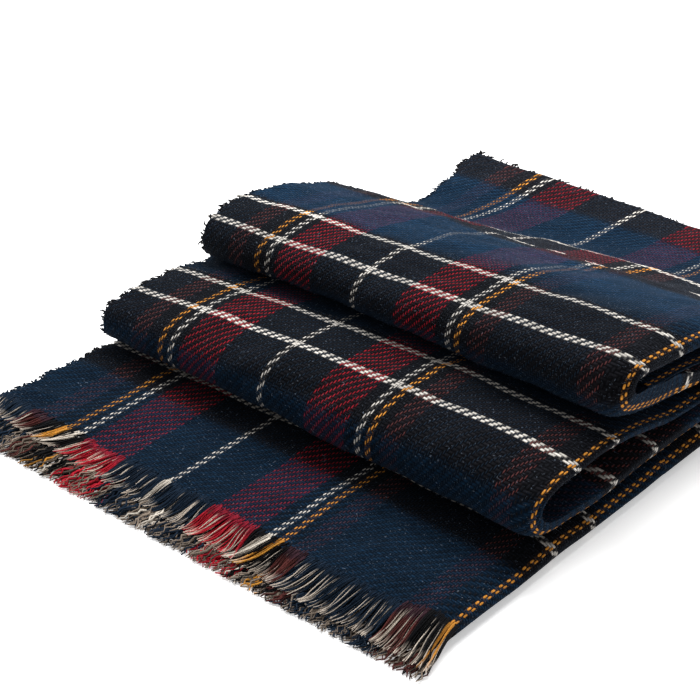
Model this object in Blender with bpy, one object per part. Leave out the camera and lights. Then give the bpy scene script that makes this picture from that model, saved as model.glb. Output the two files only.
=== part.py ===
# A tartan blanket scarf, folded in half lengthwise and then laid back and forth in five lengths.
# X runs across the folded width: the two selvages lie at -X and the long fold at +X.
# Y runs along the lengths: the fringed end is at -Y and the folded far end at +Y. Z is up.
# The scarf is one woven length. Each stretch of it that shows is a double wall of cloth, two
# plies joined at the long fold, and the plies behind them share one layered solid.
# Tables and sizes are in millimetres, with Y counted from the root of the fringe. At the end the
# whole scarf is moved so that the middle of its base is the origin, in metres.

import math

import bmesh
import bpy
import numpy as np

METRES = 0.001
CLEARANCE = 0.3          # between neighbouring pieces

# The cloth
SELVAGE_X = -172.0       # both selvages
FLAT_END_X = 158.0       # where the plies start to round into the long fold
LONG_FOLD_X = 175.0      # the long fold's outermost line
WALL = 2.4               # one ply with its nap

# The stack
CUT_Y = 200.0            # the folds in front of this line are separate stretches
SEAM_LENGTH = 1205.0     # distance along the cloth where the top fold's stretch ends
FRONT_LENGTH = 1120.0    # distance along the cloth where the top fold's front is
CREST_LENGTH = 1140.0    # distance along the cloth where the top fold's upper side starts

# The bottom length, flat on its lower ply
BOTTOM_HIGH_LEFT = 7.2
BOTTOM_HIGH_RIGHT = 15.0
BOTTOM_FOLD_HIGH = 8.0
BOTTOM_BOW = 2.0         # the upper ply's line across, bent as the bow column of the tables
BOTTOM_STATIONS = 9      # lines across the bottom length

# The hidden layers
HIDDEN_BACK_LEFT = 338.0
HIDDEN_BACK_RIGHT = 360.0
HIDDEN_SLACK = 3.0       # between the hidden layers and the cloth over them
HIDDEN_INSET = 3.0       # how far the hidden edges stand back from the selvages and the fold
GROOVE = 3.5             # depth of the grooves between the hidden layers
HIDDEN_LEAST_HIGH = 1.2  # where the cloth over them comes down to the ground
# Share of the stack's height under each layer's top: at its front by the selvages, at its front by
# the long fold, and at its back
LAYER_TOPS = ((0.125, 0.19, 0.25), (0.325, 0.41, 0.5), (0.52, 0.585, 0.75), (1.0, 1.0, 1.0))
# One layer's side from its bottom to its top: share of its height, and share of the groove's depth
LAYER_SIDE = ((0.22, 0.12), (0.5, 0.0), (0.78, 0.12), (1.0, 1.0))
OUTSIDE_INSET = 0.6      # share of the groove's depth at the stack's very top and bottom
BACK_SHARE_BY = 0.62     # share of the depth of the stack where the back's column is reached

# The fringe
FRINGE_UPPER_LEFT = 16.0
FRINGE_UPPER_RIGHT = 34.0
FRINGE_LOWER = 37.0
FRINGE_THICK = 2.2
FRINGE_START_IN = 1.0    # how far the fringe starts in from the selvage
FRINGE_END_OUT = 6.0     # how far it runs on round the long fold
FRINGE_TIP_DROP = 0.2    # the lower fringe is thinner at its tips by this
# One fringe from its root to its tips: share of its reach, and share of its drop to the ground
FRINGE_SIDE = ((0.0, 0.0), (0.45, 0.35), (0.85, 0.85), (1.0, 1.0))

# Points of the mesh
FLAT_STEPS = 6           # across one ply
ARC_STEPS = 8            # round the long fold
ROW_STEPS = 2            # between two rows of a table
HIDDEN_STEPS_ACROSS = 10
HIDDEN_STEPS_ALONG = 12
FRINGE_STEPS = 12
SHARP_ANGLE = 50.0       # degrees

# Each row is one line across the cloth. length is its distance along the cloth from the fringe.
# left and right are the outer face at the selvage and just before the long fold, edge is the
# outermost line of the long fold, thick is the distance between the outer faces of the plies,
# and bow bends the line between left and right: 1 is straight, 2 rises early and flattens.
# shift moves the whole line towards the long fold.
COLUMNS = ("length", "left_y", "left_z", "right_y", "right_z", "edge_y", "edge_z",
           "thick_left", "thick_right", "bow", "shift")

# Second length coming forward, round the middle fold and back as the third length
MIDDLE_FOLD = (
    (534, 200.0, 7.9, 200.0, 16.6, 200.0, 30.0, 5.6, 17.5, 2.0, 0.0),
    (556, 176.0, 7.9, 176.0, 16.6, 176.0, 30.0, 5.6, 17.5, 2.0, 0.0),
    (580, 153.0, 7.9, 145.0, 16.6, 148.0, 29.6, 5.6, 17.5, 2.0, 0.0),
    (602, 131.0, 7.9, 118.0, 16.7, 122.0, 29.8, 5.6, 17.0, 2.0, 0.0),
    (614, 119.0, 7.9, 103.0, 16.9, 108.0, 30.5, 5.6, 15.5, 2.0, 0.0),
    (626, 107.5, 8.0, 90.0, 18.4, 95.0, 32.0, 5.6, 14.0, 2.0, 0.0),
    (638, 96.0, 8.8, 78.5, 22.8, 84.0, 35.2, 5.6, 12.5, 2.0, 0.0),
    (647, 87.5, 12.0, 71.6, 29.6, 77.5, 40.2, 5.6, 12.0, 2.0, 0.0),
    (656, 81.4, 18.6, 69.4, 38.2, 75.4, 45.6, 5.6, 12.0, 2.0, 0.0),
    (665, 80.6, 27.0, 71.4, 47.0, 77.0, 50.8, 5.6, 12.0, 2.0, 0.0),
    (674, 85.4, 34.0, 77.6, 54.4, 83.0, 54.8, 5.6, 12.0, 2.0, 0.0),
    (684, 94.6, 38.2, 89.4, 59.8, 93.0, 56.8, 5.6, 12.5, 2.0, 0.0),
    (698, 108.6, 40.2, 106.0, 62.3, 107.0, 57.4, 5.6, 13.0, 2.0, 0.0),
    (716, 127.0, 40.2, 125.0, 62.6, 126.0, 58.2, 5.6, 13.0, 2.0, 0.0),
    (734, 145.0, 37.8, 144.0, 60.6, 145.0, 58.0, 5.6, 13.0, 2.0, 0.0),
    (755, 166.0, 34.2, 164.0, 57.0, 165.0, 53.6, 5.6, 13.0, 2.0, 0.0),
    (773, 184.0, 32.2, 182.0, 52.6, 183.0, 49.4, 5.6, 13.0, 2.0, 0.0),
    (790, 200.0, 31.0, 200.0, 48.8, 200.0, 45.0, 5.6, 12.0, 2.0, 0.0),
)

# Fourth length coming forward, round the top fold and back as the fifth length, which lies
# over the stack, comes down behind it and ends in a plain fold on the ground
TOP_FOLD = (
    (1052, 200.0, 32.0, 200.0, 51.0, 200.0, 76.0, 5.6, 23.0, 2.0, 2.0),
    (1070, 196.0, 32.4, 182.0, 55.2, 189.0, 77.6, 5.6, 23.0, 2.0, 2.4),
    (1085, 191.5, 32.8, 166.0, 59.4, 179.0, 79.6, 5.6, 22.0, 2.0, 2.7),
    (1099, 186.0, 33.4, 152.0, 64.2, 167.0, 82.0, 5.6, 19.0, 2.0, 3.0),
    (1110, 177.4, 35.4, 144.4, 71.6, 158.0, 84.6, 5.6, 17.0, 1.9, 4.0),
    (1120, 170.4, 40.4, 141.0, 80.6, 153.4, 87.8, 5.6, 15.5, 1.75, 5.0),
    (1128, 167.2, 47.0, 141.2, 88.2, 152.0, 91.0, 5.6, 15.0, 1.55, 5.1),
    (1136, 166.8, 54.4, 144.2, 95.2, 152.8, 94.2, 5.6, 15.0, 1.35, 5.2),
    (1145, 170.0, 61.4, 150.0, 101.0, 156.0, 96.8, 5.6, 16.0, 1.15, 5.3),
    (1154, 177.0, 65.6, 158.0, 104.0, 162.0, 97.6, 5.6, 17.0, 1.0, 5.4),
    (1172, 194.0, 67.2, 176.0, 105.4, 178.0, 96.8, 5.6, 17.0, 1.0, 5.6),
    (1190, 211.0, 66.0, 194.5, 103.8, 195.5, 94.6, 5.6, 17.0, 1.0, 5.8),
    (1205, 223.0, 64.5, 209.0, 101.2, 210.0, 92.6, 5.6, 16.5, 1.0, 6.0),
    (1225, 239.0, 62.0, 228.5, 96.6, 229.0, 88.6, 5.6, 15.5, 1.0, 7.0),
    (1245, 255.0, 58.6, 247.5, 90.6, 248.0, 83.2, 5.6, 15.0, 1.0, 8.0),
    (1265, 270.0, 54.6, 266.0, 83.2, 266.5, 76.4, 5.6, 14.5, 1.0, 9.1),
    (1285, 285.0, 49.4, 285.0, 75.0, 285.5, 68.4, 5.6, 14.0, 1.0, 10.1),
    (1306, 299.5, 42.8, 305.0, 65.8, 305.5, 59.2, 5.6, 13.5, 1.0, 11.2),
    (1324, 314.0, 33.6, 322.0, 57.4, 322.5, 51.0, 5.6, 13.5, 1.0, 12.1),
    (1342, 329.0, 23.2, 339.0, 48.6, 339.5, 42.2, 5.6, 13.5, 1.0, 13.0),
    (1360, 345.0, 13.6, 356.0, 40.0, 356.5, 33.6, 5.8, 13.5, 1.0, 13.2),
    (1380, 363.0, 8.8, 374.0, 31.6, 374.5, 25.4, 6.6, 13.5, 1.0, 13.3),
    (1400, 382.0, 7.6, 393.0, 24.8, 393.0, 18.4, 7.6, 14.0, 1.0, 13.5),
    (1420, 402.0, 7.4, 413.0, 20.2, 413.0, 12.8, 7.4, 16.0, 1.0, 13.7),
    (1438, 424.0, 7.2, 433.0, 17.6, 433.0, 9.4, 7.2, 17.6, 1.0, 13.9),
    (1452, 443.0, 7.0, 450.0, 16.0, 450.0, 8.4, 7.0, 16.0, 1.0, 14.0),
)
FAR_FOLD_REACH_LEFT = 6.0    # how far the far end's rounding stands past the last row
FAR_FOLD_REACH_RIGHT = 8.0
FAR_FOLD_STEPS = 5


def clear_scene():
    for item in list(bpy.data.objects):
        bpy.data.objects.remove(item, do_unlink=True)


def cloth_material(name, colour, roughness=0.92):
    material = bpy.data.materials.new(name)
    material.use_nodes = True
    shader = material.node_tree.nodes["Principled BSDF"]
    shader.inputs["Base Color"].default_value = (*colour, 1.0)
    shader.inputs["Roughness"].default_value = roughness
    shader.inputs["Metallic"].default_value = 0.0
    return material


def column(rows, name):
    return np.array([row[COLUMNS.index(name)] for row in rows], dtype=float)


def smooth_rows(rows, steps):
    # A Catmull-Rom curve through every column, with the same number of steps between all rows
    values = np.array(rows, dtype=float)
    first = 2.0 * values[0] - values[1]
    last = 2.0 * values[-1] - values[-2]
    padded = np.vstack([first, values, last])
    result = []
    for index in range(1, len(padded) - 2):
        before, start, end, after = padded[index - 1:index + 3]
        for step in range(steps):
            part = step / steps
            bend = 2.0 * before - 5.0 * start + 4.0 * end - after
            turn = 3.0 * start - before - 3.0 * end + after
            result.append(start + 0.5 * part * ((end - before) + part * (bend + part * turn)))
    result.append(values[-1])
    return np.array(result)


def inward_normals(path):
    # Unit normals of a path in the YZ plane, to its right-hand side. All the cloth runs forward
    # below and back above, so this is the side of the inner ply.
    ahead = np.gradient(path, axis=0)
    size = np.linalg.norm(ahead, axis=1, keepdims=True)
    return np.stack([ahead[:, 1], -ahead[:, 0]], axis=1) / size


def blend(start, end, amount):
    return start + (end - start) * amount


def bowed(across, bow):
    # How far a line across has come from its left value to its right one
    return 1.0 - (1.0 - across) ** bow


def ply_lines(rows):
    # Outer faces of both plies and the long fold's line, as (Y, Z) for each row
    left = np.stack([column(rows, "left_y"), column(rows, "left_z")], axis=1)
    right = np.stack([column(rows, "right_y"), column(rows, "right_z")], axis=1)
    edge = np.stack([column(rows, "edge_y"), column(rows, "edge_z")], axis=1)
    return left, right, edge


def skin(rows, inset):
    # The C-shaped skin of a double cloth: along the outer ply from the selvage, round the long
    # fold, and back along the inner ply. inset moves it into the wall.
    left, right, edge = ply_lines(rows)
    left_in = inward_normals(left)
    right_in = inward_normals(right)
    thick_left = column(rows, "thick_left")[:, None]
    thick_right = column(rows, "thick_right")[:, None]
    bows = column(rows, "bow")
    shifts = column(rows, "shift")
    outer_left = left + left_in * inset
    outer_right = right + right_in * inset
    inner_left = left + left_in * (thick_left - inset)
    inner_right = right + right_in * (thick_right - inset)
    inner_left[:, 1] = np.maximum(inner_left[:, 1], inset)
    inner_right[:, 1] = np.maximum(inner_right[:, 1], inset)
    grid = []
    for index in range(len(rows)):
        line = []
        for step in range(FLAT_STEPS):
            across = step / FLAT_STEPS
            y, z = blend(outer_left[index], outer_right[index], bowed(across, bows[index]))
            line.append((blend(SELVAGE_X, FLAT_END_X, across), y, z))
        line += fold_arc(outer_right[index], edge[index], inner_right[index], inset)
        for step in range(FLAT_STEPS - 1, -1, -1):
            across = step / FLAT_STEPS
            y, z = blend(inner_left[index], inner_right[index], bowed(across, bows[index]))
            line.append((blend(SELVAGE_X, FLAT_END_X, across), y, z))
        grid.append([(x + shifts[index], y, z) for x, y, z in line])
    return np.array(grid)


def cut_square(grid, rows_cut):
    # Stops the first rows of a skin at the cut, so that the stretch behind it can meet it
    grid[:rows_cut, :, 1] = np.minimum(grid[:rows_cut, :, 1], CUT_Y)
    return grid


def fold_arc(upper, edge, lower, inset):
    # Half an ellipse from one ply to the other, round the long fold
    line = []
    reach = LONG_FOLD_X - inset - FLAT_END_X
    for step in range(ARC_STEPS + 1):
        angle = math.pi * step / ARC_STEPS
        side = upper if angle < math.pi / 2 else lower
        y, z = blend(edge, side, abs(math.cos(angle)))
        line.append((FLAT_END_X + reach * math.sin(angle), y, z))
    return line


def make_object(name, points, faces, material):
    mesh = bpy.data.meshes.new(name)
    mesh.from_pydata([tuple(point) for point in points], [], faces)
    mesh.materials.append(material)
    work = bmesh.new()
    work.from_mesh(mesh)
    bmesh.ops.recalc_face_normals(work, faces=work.faces)
    work.to_mesh(mesh)
    work.free()
    mesh.shade_smooth()
    mesh.set_sharp_from_angle(angle=math.radians(SHARP_ANGLE))
    item = bpy.data.objects.new(name, mesh)
    bpy.context.scene.collection.objects.link(item)
    return item


def grid_faces(rows, columns, start, flip):
    faces = []
    for row in range(rows - 1):
        for place in range(columns - 1):
            a = start + row * columns + place
            quad = (a, a + columns, a + columns + 1, a + 1)
            faces.append(quad[::-1] if flip else quad)
    return faces


def rim_faces(outer, inner, flip):
    # A strip between two lines of point numbers
    faces = []
    for place in range(len(outer) - 1):
        quad = (outer[place], inner[place], inner[place + 1], outer[place + 1])
        faces.append(quad[::-1] if flip else quad)
    return faces


def cloth_wall(name, outer, inner, material):
    # A closed wall between two skins of the same grid
    rows, columns = outer.shape[:2]
    count = rows * columns
    points = np.vstack([outer.reshape(-1, 3), inner.reshape(-1, 3)])
    faces = grid_faces(rows, columns, 0, True)
    faces += grid_faces(rows, columns, count, False)
    first_row = list(range(columns))
    last_row = [(rows - 1) * columns + place for place in range(columns)]
    first_side = [row * columns for row in range(rows)]
    last_side = [row * columns + columns - 1 for row in range(rows)]
    for line, flip in ((first_row, True), (last_row, False), (first_side, False), (last_side, True)):
        faces += rim_faces(line, [number + count for number in line], flip)
    return make_object(name, points, faces, material)


def rows_between(rows, start, end):
    lengths = rows[:, 0]
    return rows[(lengths >= start) & (lengths <= end)]


def add_bottom_length(material):
    # Two plies on the ground from the fringe to the cut, the lower one flat on its face
    def ply_skin(inset):
        grid = []
        for y in np.linspace(0.0, CUT_Y, BOTTOM_STATIONS):
            line = []
            for step in range(FLAT_STEPS):
                across = step / FLAT_STEPS
                high = blend(BOTTOM_HIGH_LEFT, BOTTOM_HIGH_RIGHT, bowed(across, BOTTOM_BOW)) - inset
                line.append((blend(SELVAGE_X, FLAT_END_X, across), y, high))
            upper = np.array((y, BOTTOM_HIGH_RIGHT - inset))
            edge = np.array((y, BOTTOM_FOLD_HIGH))
            lower = np.array((y, inset))
            line += fold_arc(upper, edge, lower, inset)
            for step in range(FLAT_STEPS - 1, -1, -1):
                line.append((blend(SELVAGE_X, FLAT_END_X, step / FLAT_STEPS), y, inset))
            grid.append(line)
        return np.array(grid)

    cloth_wall("bottom_length", ply_skin(0.0), ply_skin(WALL), material)


def add_middle_fold(material):
    rows = smooth_rows(MIDDLE_FOLD, ROW_STEPS)
    cloth_wall("middle_fold", skin(rows, 0.0), skin(rows, WALL), material)


def add_top_fold(rows, material):
    part = rows_between(rows, 0.0, SEAM_LENGTH)
    forward_rows = len(rows_between(rows, 0.0, FRONT_LENGTH))
    outer = cut_square(skin(part, 0.0), forward_rows)
    inner = cut_square(skin(part, WALL), forward_rows)
    cloth_wall("top_fold", outer, inner, material)


def add_back_length(rows, material):
    # From the seam over the stack to the ground, closed by the far end's plain fold
    part = rows_between(rows, SEAM_LENGTH, math.inf)
    outer = skin(part, 0.0)
    inner = skin(part, WALL)
    outer[0, :, 1] += CLEARANCE
    inner[0, :, 1] += CLEARANCE
    far_cap(outer, inner, material)


def far_cap(outer, inner, material):
    # The far end: the upper ply rounds down on to the lower one. Both skins are closed there by
    # the same rounding, the inner one a wall further in.
    rows, columns = outer.shape[:2]
    half = columns // 2

    def rounding(grid, inset):
        last = grid[-1]
        caps = []
        for step in range(1, FAR_FOLD_STEPS):
            angle = math.pi / 2 * step / FAR_FOLD_STEPS
            line = []
            for place in range(half):
                over = last[place]
                under = last[columns - 1 - place]
                middle = (over + under) / 2
                across = min(1.0, place / FLAT_STEPS)
                reach = blend(FAR_FOLD_REACH_LEFT, FAR_FOLD_REACH_RIGHT, across) - inset
                shift = np.array((0.0, reach * math.sin(angle), 0.0))
                upper = middle + (over - middle) * math.cos(angle) + shift
                lower = middle + (under - middle) * math.cos(angle) + shift
                line.append((upper, lower))
            shift = np.array((0.0, line[-1][0][1] - last[half - 1][1], 0.0))
            fold_in = (last[half] - last[half - 1]) * math.cos(angle)
            fold_point = last[half - 1] * 0.5 + last[columns - half] * 0.5 + shift
            fold_point = fold_point + fold_in * np.array((1.0, 0.0, 0.0))
            caps.append([pair[0] for pair in line] + [fold_point] + [pair[1] for pair in line[::-1]])
        return np.array(caps)

    outer_all = np.concatenate([outer, rounding(outer, 0.0)])
    inner_all = np.concatenate([inner, rounding(inner, WALL)])
    rows = len(outer_all)
    count = rows * columns
    points = np.vstack([outer_all.reshape(-1, 3), inner_all.reshape(-1, 3)])
    faces = grid_faces(rows, columns, 0, True)
    faces += grid_faces(rows, columns, count, False)
    first_row = list(range(columns))
    faces += rim_faces(first_row, [number + count for number in first_row], True)
    first_side = [row * columns for row in range(rows)]
    last_side = [row * columns + columns - 1 for row in range(rows)]
    faces += rim_faces(first_side, [number + count for number in first_side], False)
    faces += rim_faces(last_side, [number + count for number in last_side], True)
    # The last line of each skin is sewn to itself, upper half to lower half
    base = (rows - 1) * columns
    for start, flip in ((base, False), (base + count, True)):
        for place in range(half - 1):
            quad = (start + place, start + place + 1,
                    start + columns - 2 - place, start + columns - 1 - place)
            faces.append(quad[::-1] if not flip else quad)
        tip = (start + half - 1, start + half, start + columns - half)
        faces.append(tip[::-1] if not flip else tip)
    quad = (base, base + columns - 1, base + count + columns - 1, base + count)
    faces.append(quad)
    make_object("back_length", points, faces, material)


def under_top_cloth(rows):
    # The lowest line of the fifth length at the selvage and at the long fold, as Z against Y
    left, right, _ = ply_lines(rows)
    thick_left = column(rows, "thick_left")[:, None]
    thick_right = column(rows, "thick_right")[:, None]
    under_left = left + inward_normals(left) * thick_left
    under_right = right + inward_normals(right) * thick_right
    return under_left, under_right


def add_hidden_layers(rows, material):
    # The lengths behind the folds, as one solid with a groove between each two layers
    under_left, under_right = under_top_cloth(rows_between(rows, CREST_LENGTH, math.inf))
    front = CUT_Y + CLEARANCE
    across_steps = HIDDEN_STEPS_ACROSS
    along_steps = HIDDEN_STEPS_ALONG

    def height(across, y):
        left = np.interp(y, under_left[:, 0], under_left[:, 1])
        right = np.interp(y, under_right[:, 0], under_right[:, 1])
        return max(HIDDEN_LEAST_HIGH, blend(left, right, across) - HIDDEN_SLACK)

    def share(level, across, along):
        front_selvage, front_fold, back = level
        front_share = blend(front_selvage, front_fold, across)
        return blend(front_share, back, min(1.0, along / BACK_SHARE_BY))

    below = (0.0, 0.0, 0.0)
    levels = [(below, OUTSIDE_INSET)]
    for top in LAYER_TOPS:
        for part, inset in LAYER_SIDE:
            levels.append((tuple(blend(a, b, part) for a, b in zip(below, top)), inset))
        below = top
    levels[-1] = (below, OUTSIDE_INSET)

    def plan_point(place, row, level, inset):
        across = place / across_steps
        along = row / along_steps
        deep = GROOVE * inset
        left_x = SELVAGE_X + HIDDEN_INSET + deep
        right_x = LONG_FOLD_X - HIDDEN_INSET - deep
        back = blend(HIDDEN_BACK_LEFT, HIDDEN_BACK_RIGHT, across)
        y = blend(front, back - deep, along)
        z = height(across, y) * share(level, across, along)
        return (blend(left_x, right_x, across), y, z)

    border = [(place, 0) for place in range(across_steps)]
    border += [(across_steps, row) for row in range(along_steps)]
    border += [(place, along_steps) for place in range(across_steps, 0, -1)]
    border += [(0, row) for row in range(along_steps, 0, -1)]
    points = []
    faces = []
    rings = []
    for level, inset in levels:
        rings.append([len(points) + number for number in range(len(border))])
        points += [plan_point(place, row, level, inset) for place, row in border]
    for lower, upper in zip(rings[:-1], rings[1:]):
        for number in range(len(border)):
            after = (number + 1) % len(border)
            faces.append((lower[number], lower[after], upper[after], upper[number]))
    for ring, (level, inset), flip in ((rings[0], levels[0], True), (rings[-1], levels[-1], False)):
        numbers = {place: ring[index] for index, place in enumerate(border)}
        for row in range(1, along_steps):
            for place in range(1, across_steps):
                numbers[(place, row)] = len(points)
                points.append(plan_point(place, row, level, inset))
        for row in range(along_steps):
            for place in range(across_steps):
                quad = (numbers[(place, row)], numbers[(place + 1, row)],
                        numbers[(place + 1, row + 1)], numbers[(place, row + 1)])
                faces.append(quad[::-1] if flip else quad)
    make_object("hidden_layers", points, faces, material)


def add_fringe(name, material, low, high, reach_left, reach_right, tip_drop):
    # The reach of one ply's fringe: a soft-edged tongue in front of the bottom length. low is the
    # ground under it, and high its root's height at the selvage and at the long fold.
    steps = FRINGE_STEPS
    outline = FRINGE_SIDE
    points = []
    for step in range(steps + 1):
        across = step / steps
        x = blend(SELVAGE_X + FRINGE_START_IN, FLAT_END_X + FRINGE_END_OUT, across)
        reach = blend(reach_left, reach_right, across)
        rise = blend(high[0], high[1], bowed(across, BOTTOM_BOW))
        for forward, drop in outline:
            y = -CLEARANCE - forward * reach
            top = blend(rise, low + FRINGE_THICK - tip_drop, drop)
            points.append((x, y, top))
        for forward, drop in outline[::-1]:
            y = -CLEARANCE - forward * reach
            bottom = blend(max(low, rise - FRINGE_THICK), low, drop)
            points.append((x, y, bottom))
    size = 2 * len(outline)
    faces = []
    for step in range(steps):
        for number in range(size):
            after = (number + 1) % size
            a, b = step * size + number, step * size + after
            faces.append((a, b, b + size, a + size))
    for start, flip in ((0, True), (steps * size, False)):
        for number in range(len(outline) - 1):
            quad = (start + number, start + number + 1,
                    start + size - 2 - number, start + size - 1 - number)
            faces.append(quad[::-1] if flip else quad)
    make_object(name, points, faces, material)


def move_to_origin():
    # The middle of the base goes to the origin, and millimetres become metres
    items = list(bpy.context.scene.collection.objects)
    points = np.vstack([[vertex.co[:] for vertex in item.data.vertices] for item in items])
    lowest = points.min(axis=0)
    highest = points.max(axis=0)
    middle = np.array(((lowest[0] + highest[0]) / 2, (lowest[1] + highest[1]) / 2, lowest[2]))
    for item in items:
        for vertex in item.data.vertices:
            moved = (np.array(vertex.co[:]) - middle) * METRES
            vertex.co = moved.tolist()
        item.data.update()


def main():
    clear_scene()
    navy = cloth_material("navy_tartan", (0.018, 0.032, 0.062))
    dark = cloth_material("dark_tartan", (0.010, 0.012, 0.018))
    cream = cloth_material("fringe_yarn", (0.33, 0.28, 0.24))
    top_rows = smooth_rows(TOP_FOLD, ROW_STEPS)
    add_bottom_length(navy)
    add_middle_fold(navy)
    add_top_fold(top_rows, navy)
    add_back_length(top_rows, navy)
    add_hidden_layers(top_rows, dark)
    add_fringe("fringe_lower", cream, 0.0, (WALL, WALL), FRINGE_LOWER, FRINGE_LOWER,
               FRINGE_TIP_DROP)
    add_fringe("fringe_upper", cream, WALL + CLEARANCE, (BOTTOM_HIGH_LEFT, BOTTOM_HIGH_RIGHT),
               FRINGE_UPPER_LEFT, FRINGE_UPPER_RIGHT, 0.0)
    move_to_origin()


main()
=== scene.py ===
import math

import bmesh
import bpy
import numpy as np
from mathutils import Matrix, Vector


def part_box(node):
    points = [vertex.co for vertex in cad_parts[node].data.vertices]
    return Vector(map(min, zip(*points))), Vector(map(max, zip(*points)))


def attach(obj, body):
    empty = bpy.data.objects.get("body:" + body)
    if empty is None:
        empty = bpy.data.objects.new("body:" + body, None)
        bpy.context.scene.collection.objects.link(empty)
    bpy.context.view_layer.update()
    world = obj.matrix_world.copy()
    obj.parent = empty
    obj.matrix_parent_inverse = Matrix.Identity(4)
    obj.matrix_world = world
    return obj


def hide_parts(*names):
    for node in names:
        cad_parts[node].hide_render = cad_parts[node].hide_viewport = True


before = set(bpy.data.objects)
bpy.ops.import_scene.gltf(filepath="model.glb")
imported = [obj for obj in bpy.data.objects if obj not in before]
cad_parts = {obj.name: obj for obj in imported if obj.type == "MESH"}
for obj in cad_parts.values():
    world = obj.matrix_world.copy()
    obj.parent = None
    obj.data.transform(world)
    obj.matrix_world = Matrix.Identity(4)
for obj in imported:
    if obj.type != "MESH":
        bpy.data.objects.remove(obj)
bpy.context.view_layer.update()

mm = 0.001


class Wire:
    # a node's output as part of a sum: every sum adds its own Math node to the tree
    def __init__(self, socket):
        self.socket = socket
        self.tree = socket.id_data

    def __add__(self, other):
        return calc("ADD", self, other)

    def __sub__(self, other):
        return calc("SUBTRACT", self, other)

    def __rsub__(self, other):
        return calc("SUBTRACT", other, self)

    def __mul__(self, other):
        return calc("MULTIPLY", self, other)

    def __truediv__(self, other):
        return calc("DIVIDE", self, other)

    def __mod__(self, other):
        return calc("FLOORED_MODULO", self, other)

    def beside(self, output):
        # another output of the same node
        return Wire(self.socket.node.outputs[output])


def feedNode(item, feeds):
    # every feed is a plain value or another node's output
    for place, value in feeds.items():
        if isinstance(value, Wire):
            value.tree.links.new(value.socket, item.inputs[place])
        else:
            item.inputs[place].default_value = value


def addNode(tree, kind, feeds=None, output=0, **settings):
    item = tree.nodes.new(kind)
    for key, value in settings.items():
        setattr(item, key, value)
    feedNode(item, feeds or {})
    return Wire(item.outputs[output])


def calc(operation, *values):
    tree = next(value.tree for value in values if isinstance(value, Wire))
    return addNode(tree, "ShaderNodeMath", dict(enumerate(values)), operation=operation)


def mapRange(value, *ends, **settings):
    # ends are the two that it goes from and the two that it goes to
    feeds = dict(enumerate((value, *ends)))
    return addNode(value.tree, "ShaderNodeMapRange", feeds, **settings)


def mixNumbers(amount, first, second):
    return addNode(amount.tree, "ShaderNodeMix", {0: amount, 2: first, 3: second})


def mixColours(amount, first, second):
    return addNode(amount.tree, "ShaderNodeMix", {0: amount, 6: first, 7: second}, output=2,
                   data_type="RGBA")


def noise(place, scale, detail, roughness):
    return addNode(place.tree, "ShaderNodeTexNoise", {0: place, 2: scale, 3: detail, 4: roughness})


def scaled(vector, amount):
    return addNode(vector.tree, "ShaderNodeVectorMath", {0: vector, 3: amount}, operation="SCALE")


def newMaterial(name):
    material = bpy.data.materials.new(name)
    material.use_nodes = True
    return material, material.node_tree.nodes["Principled BSDF"]


def addObject(name, data):
    item = bpy.data.objects.new(name, data)
    bpy.context.scene.collection.objects.link(item)
    return item


def linear(red, green, blue):
    # screen colour, 0 to 255, as a linear colour
    channels = []
    for channel in (red, green, blue):
        part = channel / 255
        channels.append(part / 12.92 if part <= 0.04045 else ((part + 0.055) / 1.055) ** 2.4)
    return (*channels, 1.0)


yarns = {
    "blue": linear(10, 29, 46),      # the blue of the weft
    "navy": linear(16, 26, 37),      # the blue of the warp
    "black": linear(16, 16, 19),
    "white": linear(180, 175, 168),
    "yellow": linear(192, 128, 50),
    "gold": linear(192, 128, 50),    # the thicker yellow by the long fold
    "red": linear(130, 21, 31),
    "brown": linear(76, 40, 38),
}

# the same warp yarns where they hang free
looseYarns = {
    **yarns,
    "navy": linear(24, 38, 54),
    "red": linear(176, 30, 46),
    "white": linear(220, 210, 196),
    "yellow": linear(216, 150, 60),
    "gold": linear(200, 136, 54),
    "brown": linear(88, 45, 42),
}

weave = {
    "warpPitch": 1.5,     # mm from one end to the next
    "weftPitch": 1.75,    # mm from one pick to the next
    "foldPlace": 208.0,   # mm across the cloth, where the two plies join
    "settMiddle": 202.5,  # mm across the cloth, where the sett turns back
    "warpRange": (-142.5, 240.0),    # mm across the cloth, 255 ends
    "bandLead": 0.4,      # mm that a band starts before its first end, to have the whole of it
    "weftRepeat": 152.0,
    "blueEdges": (61.0, 137.5),      # mm along the repeat, where fibres mix the blue and the black
    "edgeMixing": 4.4,    # mm
    "crownEdge": 0.2,     # how softly a warp float goes under the weft
    "sunkBeside": 0.45,   # how far it lies lower beside its crown
    "otherShare": 0.25,   # most that fibres of the other yarn show through
    # the nap is brushed up behind the top fold, where it hides more of the warp and carries a
    # painted sheen: from one line, given in mm from the fringe at two places across the cloth, to
    # another, and less after that
    "brushedAcross": (-85.0, 40.0),
    "brushedFrom": (1180.0, 1206.0),
    "brushedTo": 1312.0,
    "brushedEdges": (22.0, 20.0),
    "brushedAfter": 0.55,
    "brushedHides": 0.42,
    "paintedSheen": 1.15,
    "yarnVariation": 0.22,
    "noiseMiddle": (0.3, 0.7),    # a noise hardly goes beyond this
    "patchScale": 45.0, "patchShade": (0.85, 1.15),
    "fibreScale": 1250.0, "fibreShade": (0.55, 1.45), "fibreHigh": 0.35,
    "slubScale": (0.11, 0.75), "slubShade": (0.74, 1.26),    # longer than they are high
    # painted shade: the weave is darker where it lies low and lighter on the high floats
    "paintedReliefShade": (0.45, 1.1),
    "kempScale": 620.0, "kempShare": 0.2, "kemp": linear(150, 165, 185),
    "bumpHigh": 0.55,
    "bumpStrength": 0.85,
    "roughness": 0.9,
    "specular": 0.03,
    "sheen": 0.035,
    "sheenRoughness": 0.45,
    "sheenTint": (0.45, 0.65, 1.0, 1.0),
}

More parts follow.
